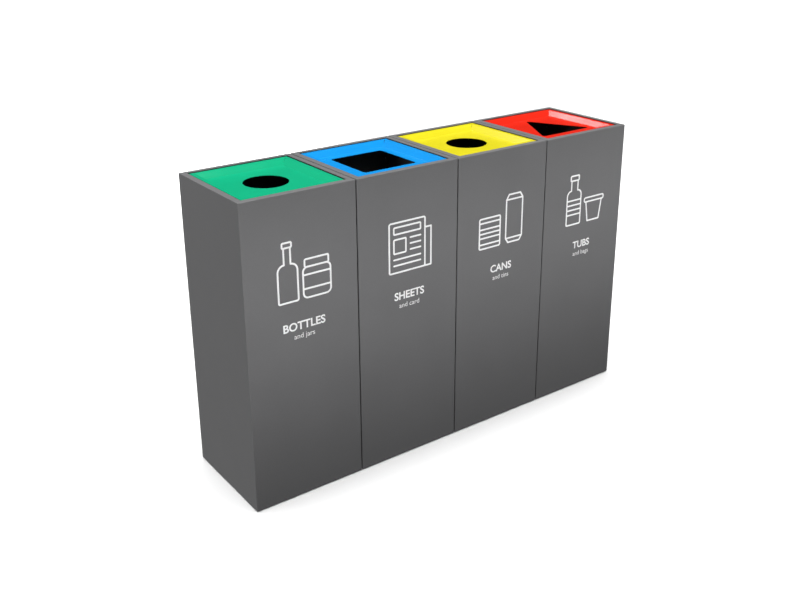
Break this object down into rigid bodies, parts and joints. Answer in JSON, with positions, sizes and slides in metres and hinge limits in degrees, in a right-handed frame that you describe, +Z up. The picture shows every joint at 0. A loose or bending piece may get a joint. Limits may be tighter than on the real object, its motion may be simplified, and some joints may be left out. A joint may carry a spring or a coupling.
{
  "type": "recycling bin station",
  "caption": "Row of square sheet-steel recycling bins with flush lift-off coloured lids, each lid with its own shape of opening, over lift-out liners with wire bails.",
  "frame": {"origin": "on the floor, under the middle of the row", "axes": "+X along the row from the glass bin to the plastic bin, +Y from the labelled fronts to the back, +Z up"},
  "size_m": [1.409, 0.3512, 0.9],
  "materials": {
    "body_paint": "satin textured powder coat",
    "lid_green": "semi-gloss powder coat",
    "lid_blue": "semi-gloss powder coat",
    "lid_yellow": "semi-gloss powder coat",
    "lid_red": "semi-gloss powder coat",
    "galvanised": "spangled zinc",
    "zinc_wire": "drawn, zinc plated",
    "zinc_steel": "zinc plated",
    "rivet_aluminium": "plain",
    "buffer_rubber": "matt",
    "glide_plastic": "matt",
    "spacer_nylon": "matt"
  },
  "bodies": {
    "station": {"glass_bin_shell": "body_paint", "glass_bin_back_panel": "body_paint", "glass_bin_back_rivets": "rivet_aluminium", "glass_bin_seat_frame": "body_paint", "glass_bin_seat_buffers": "buffer_rubber", "glass_bin_floor_pan": "body_paint", "glass_bin_glides": "glide_plastic", "glass_bin_liner_guides": "body_paint", "paper_bin_shell": "body_paint", "paper_bin_back_panel": "body_paint", "paper_bin_back_rivets": "rivet_aluminium", "paper_bin_seat_frame": "body_paint", "paper_bin_seat_buffers": "buffer_rubber", "paper_bin_floor_pan": "body_paint", "paper_bin_glides": "glide_plastic", "paper_bin_liner_guides": "body_paint", "can_bin_shell": "body_paint", "can_bin_back_panel": "body_paint", "can_bin_back_rivets": "rivet_aluminium", "can_bin_seat_frame": "body_paint", "can_bin_seat_buffers": "buffer_rubber", "can_bin_floor_pan": "body_paint", "can_bin_glides": "glide_plastic", "can_bin_liner_guides": "body_paint", "plastic_bin_shell": "body_paint", "plastic_bin_back_panel": "body_paint", "plastic_bin_back_rivets": "rivet_aluminium", "plastic_bin_seat_frame": "body_paint", "plastic_bin_seat_buffers": "buffer_rubber", "plastic_bin_floor_pan": "body_paint", "plastic_bin_glides": "glide_plastic", "plastic_bin_liner_guides": "body_paint", "joining_bolts": "zinc_steel", "joining_nuts": "zinc_steel", "joining_washers": "zinc_steel", "gap_spacers": "spacer_nylon"},
    "glass_lid": {"glass_bin_lid": "lid_green"},
    "glass_liner": {"glass_bin_liner": "galvanised", "glass_bin_bail_ears": "galvanised", "glass_bin_ear_rivets": "rivet_aluminium"},
    "glass_bail": {"glass_bin_bail": "zinc_wire"},
    "paper_lid": {"paper_bin_lid": "lid_blue"},
    "paper_liner": {"paper_bin_liner": "galvanised", "paper_bin_bail_ears": "galvanised", "paper_bin_ear_rivets": "rivet_aluminium"},
    "paper_bail": {"paper_bin_bail": "zinc_wire"},
    "can_lid": {"can_bin_lid": "lid_yellow"},
    "can_liner": {"can_bin_liner": "galvanised", "can_bin_bail_ears": "galvanised", "can_bin_ear_rivets": "rivet_aluminium"},
    "can_bail": {"can_bin_bail": "zinc_wire"},
    "plastic_lid": {"plastic_bin_lid": "lid_red"},
    "plastic_liner": {"plastic_bin_liner": "galvanised", "plastic_bin_bail_ears": "galvanised", "plastic_bin_ear_rivets": "rivet_aluminium"},
    "plastic_bail": {"plastic_bin_bail": "zinc_wire"}
  },
  "joints": [
    {"name": "glass_lid_lift", "type": "slide", "parent": "station", "child": "glass_lid", "axis": [0, 0, 1], "range_m": [0, 1]},
    {"name": "glass_liner_lift", "type": "slide", "parent": "station", "child": "glass_liner", "axis": [0, 0, 1], "range_m": [0, 0.9]},
    {"name": "glass_bail_swing", "type": "hinge", "parent": "glass_liner", "child": "glass_bail", "pos_m": [-0.5295, 0, 0.7071], "axis": [-1, 0, 0], "range_deg": [0, 214.4]},
    {"name": "paper_lid_lift", "type": "slide", "parent": "station", "child": "paper_lid", "axis": [0, 0, 1], "range_m": [0, 1]},
    {"name": "paper_liner_lift", "type": "slide", "parent": "station", "child": "paper_liner", "axis": [0, 0, 1], "range_m": [0, 0.9]},
    {"name": "paper_bail_swing", "type": "hinge", "parent": "paper_liner", "child": "paper_bail", "pos_m": [-0.1765, 0, 0.7071], "axis": [-1, 0, 0], "range_deg": [0, 214.4]},
    {"name": "can_lid_lift", "type": "slide", "parent": "station", "child": "can_lid", "axis": [0, 0, 1], "range_m": [0, 1]},
    {"name": "can_liner_lift", "type": "slide", "parent": "station", "child": "can_liner", "axis": [0, 0, 1], "range_m": [0, 0.9]},
    {"name": "can_bail_swing", "type": "hinge", "parent": "can_liner", "child": "can_bail", "pos_m": [0.1765, 0, 0.7071], "axis": [-1, 0, 0], "range_deg": [0, 214.4]},
    {"name": "plastic_lid_lift", "type": "slide", "parent": "station", "child": "plastic_lid", "axis": [0, 0, 1], "range_m": [0, 1]},
    {"name": "plastic_liner_lift", "type": "slide", "parent": "station", "child": "plastic_liner", "axis": [0, 0, 1], "range_m": [0, 0.9]},
    {"name": "plastic_bail_swing", "type": "hinge", "parent": "plastic_liner", "child": "plastic_bail", "pos_m": [0.5295, 0, 0.7071], "axis": [-1, 0, 0], "range_deg": [0, 214.4]}
  ],
  "couplings": [
    {"joint": "glass_liner_lift", "follows": "glass_lid_lift", "ratio": 0.9},
    {"joint": "paper_liner_lift", "follows": "paper_lid_lift", "ratio": 0.9},
    {"joint": "can_liner_lift", "follows": "can_lid_lift", "ratio": 0.9},
    {"joint": "plastic_liner_lift", "follows": "plastic_lid_lift", "ratio": 0.9}
  ]
}
